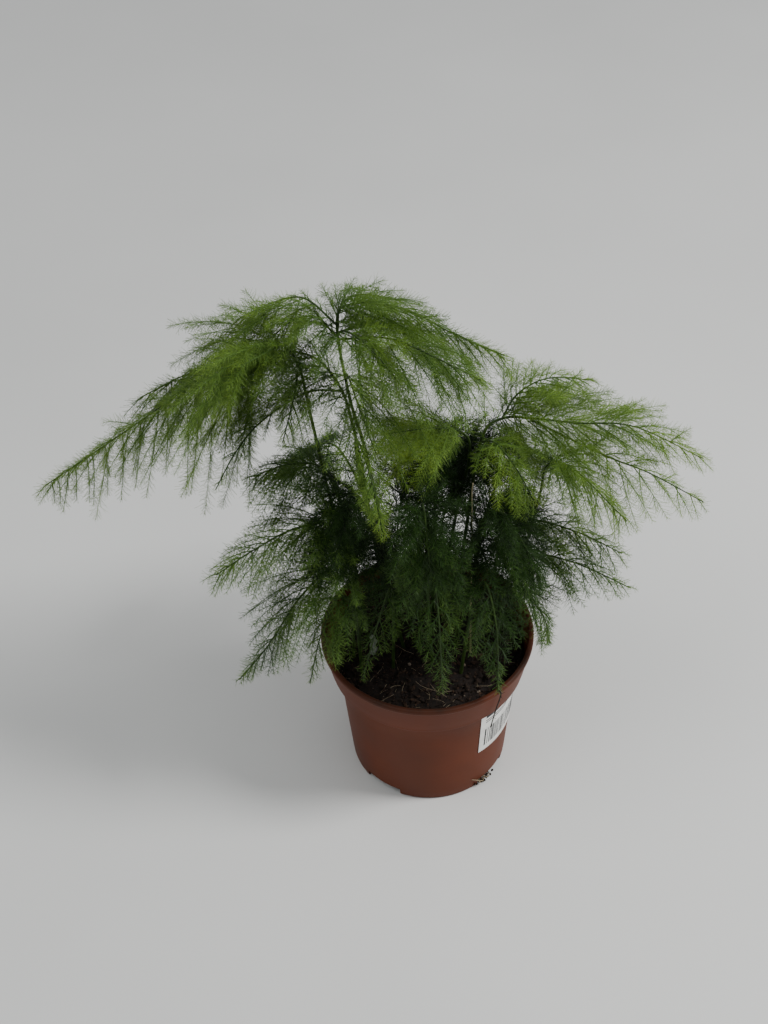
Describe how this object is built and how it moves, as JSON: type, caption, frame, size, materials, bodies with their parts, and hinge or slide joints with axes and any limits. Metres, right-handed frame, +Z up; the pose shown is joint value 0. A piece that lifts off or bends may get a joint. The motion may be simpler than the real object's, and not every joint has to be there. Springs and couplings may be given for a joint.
{
  "type": "potted lace fern",
  "caption": "Potted lace fern: a tapered plastic nursery pot of soil with arching, wiry fronds that carry flat sprays of fine green needles.",
  "frame": {"origin": "centre of the pot's flat underside", "axes": "+Z up along the pot's axis, -Y towards the viewer of the picture, +X to the viewer's right"},
  "size_m": [0.3221, 0.1722, 0.2833],
  "materials": {
    "pot_plastic": "satin moulded",
    "soil": "rough, crumbly",
    "label_paper": "smooth, matt",
    "foliage": "soft, slightly waxy",
    "dry_stem": "dry, matt",
    "dry_strand": "dry, matt"
  },
  "bodies": {
    "root": {"pot": "pot_plastic", "soil": "soil", "label": "label_paper", "dry_stem": "dry_stem", "dry_strand": "dry_strand", "frond_back_left": "foliage", "frond_back_left_arch": "foliage", "frond_back_middle": "foliage", "frond_back_right": "foliage", "frond_centre_spray": "foliage", "frond_drooping_tip": "foliage", "frond_front_hanging": "foliage", "frond_front_left_low": "foliage", "frond_front_right_hanging": "foliage", "frond_inner_back": "foliage", "frond_inner_front": "foliage", "frond_inner_left": "foliage", "frond_inner_right": "foliage", "frond_left_arch": "foliage", "frond_left_front": "foliage", "frond_left_low": "foliage", "frond_left_middle": "foliage", "frond_right_arch": "foliage", "frond_right_front": "foliage", "frond_right_high": "foliage", "frond_right_middle": "foliage", "frond_right_spray": "foliage", "frond_top_arch": "foliage"}
  },
  "joints": []
}
